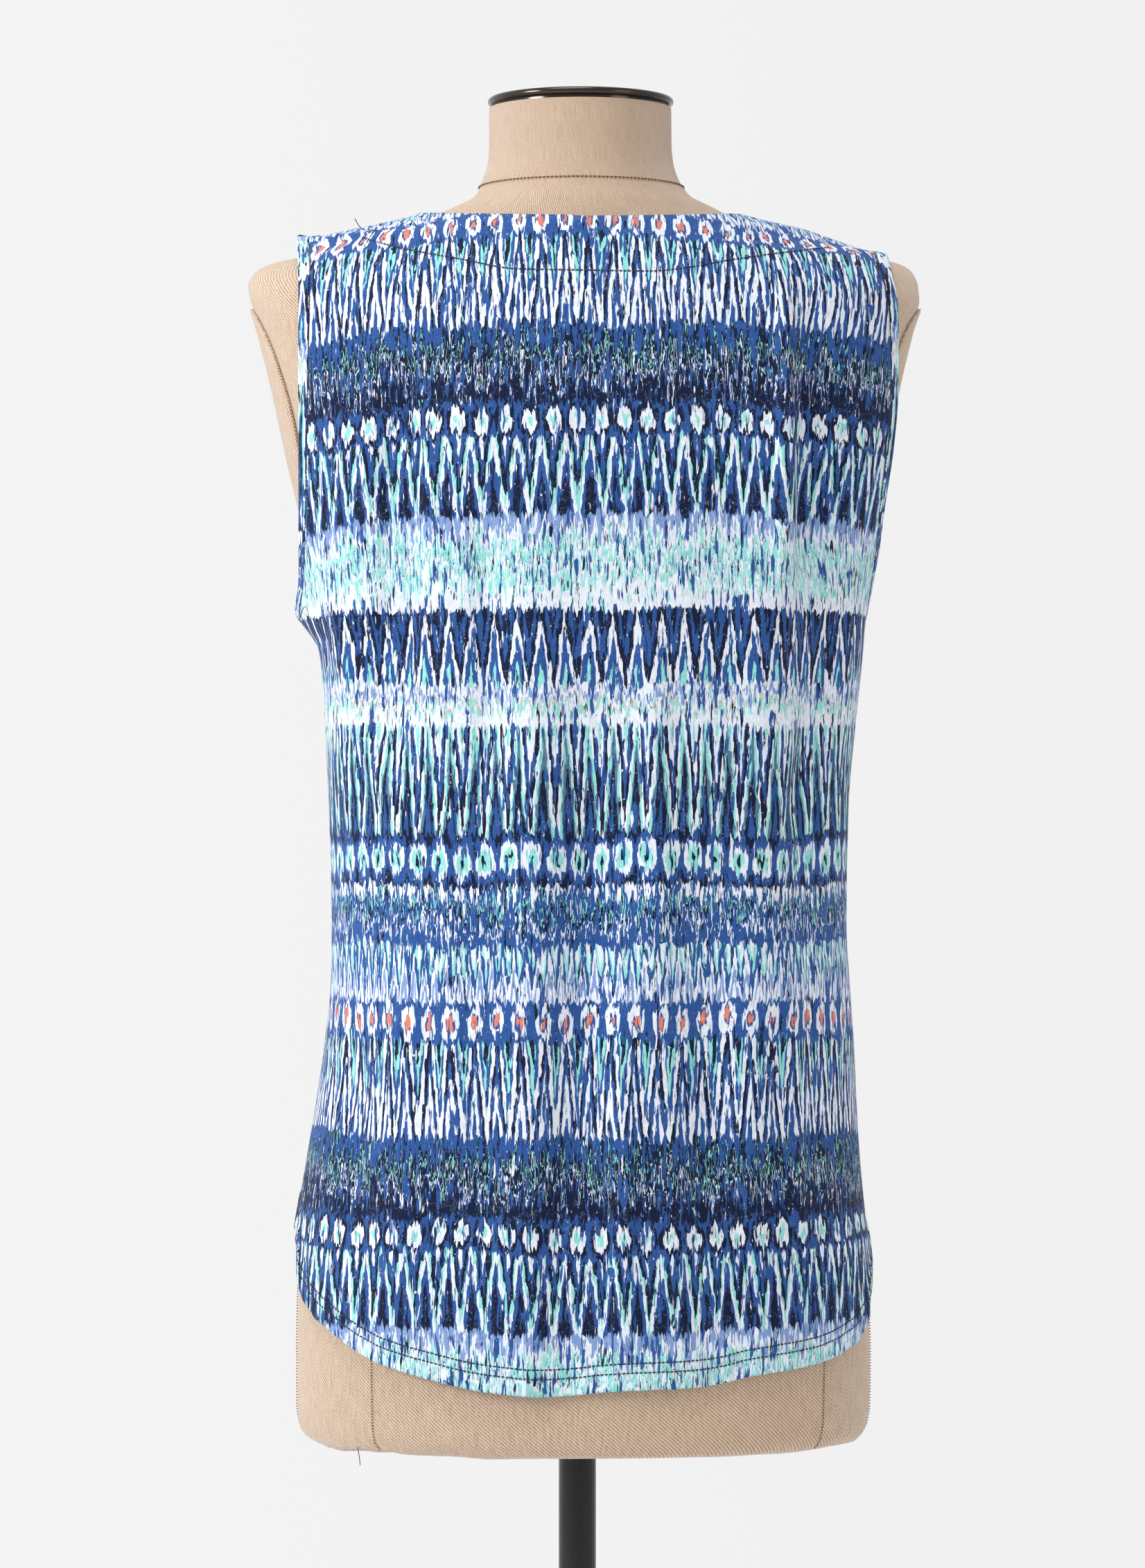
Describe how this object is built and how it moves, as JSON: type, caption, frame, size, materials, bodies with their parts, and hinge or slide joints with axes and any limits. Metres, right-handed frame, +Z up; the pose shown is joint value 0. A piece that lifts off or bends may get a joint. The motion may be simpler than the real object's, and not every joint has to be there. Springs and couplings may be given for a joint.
{
  "type": "sleeveless top on a dress form",
  "caption": "Sleeveless boat-neck jersey top with a shirt-tail hem, worn by a limbless linen-covered dress form on a pole with a round base.",
  "frame": {"origin": "centre of the stand base's underside, on the floor", "axes": "+Z up; -Y is the way the back of the top faces, which is the side the picture shows; +Y is its front; -X is the wearer's left"},
  "size_m": [0.3988, 0.35, 1.4714],
  "materials": {
    "printed_jersey": "printed viscose jersey, matt with a faint sheen",
    "jersey_binding": "the same printed jersey, folded and stitched",
    "linen_cover": "natural linen canvas, plain weave",
    "polished_steel": "polished steel",
    "black_enamel": "black satin enamel on steel"
  },
  "bodies": {
    "root": {"back_panel": "printed_jersey", "front_panel": "printed_jersey", "armhole_band_left": "jersey_binding", "armhole_band_right": "jersey_binding", "dress_form_body": "linen_cover", "arm_plate_left": "linen_cover", "arm_plate_right": "linen_cover", "neck_cap": "polished_steel", "pole_socket": "black_enamel", "pole": "black_enamel", "stand_base": "black_enamel"}
  },
  "joints": []
}
